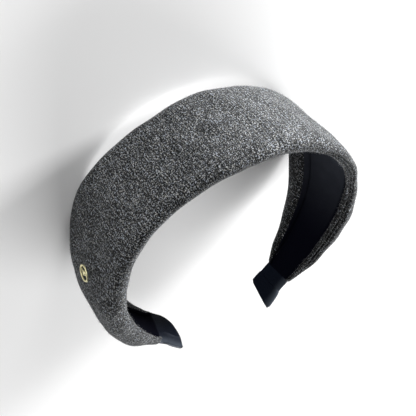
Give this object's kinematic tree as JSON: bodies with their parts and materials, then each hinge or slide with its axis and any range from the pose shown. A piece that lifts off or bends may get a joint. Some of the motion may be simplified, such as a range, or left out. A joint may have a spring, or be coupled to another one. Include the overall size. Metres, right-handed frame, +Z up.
{
  "type": "padded headband",
  "caption": "Wide padded headband lying on its rear edge: grey wool cover with rolled edges, black lining strip, ribbon-wrapped tips and a small round metal badge.",
  "frame": {"origin": "middle of the bounding box in X and Y, on the surface that the rear edge rests on", "axes": "+Z up from the rear edge to the front edge, -Y out of the crown, +Y out between the tips, +X to the leg with the badge"},
  "size_m": [0.1478, 0.1384, 0.0602],
  "materials": {
    "wool_cloth": "grey melange milled wool, matt and slightly hairy",
    "lining_cloth": "smooth near-black woven lining, dull satin",
    "ribbon": "dark navy ribbon, dull satin",
    "gilt_metal": "polished gold plate"
  },
  "bodies": {
    "root": {"cover": "wool_cloth", "lining": "lining_cloth", "end_wrap_left": "ribbon", "end_wrap_right": "ribbon", "badge": "gilt_metal"}
  },
  "joints": []
}
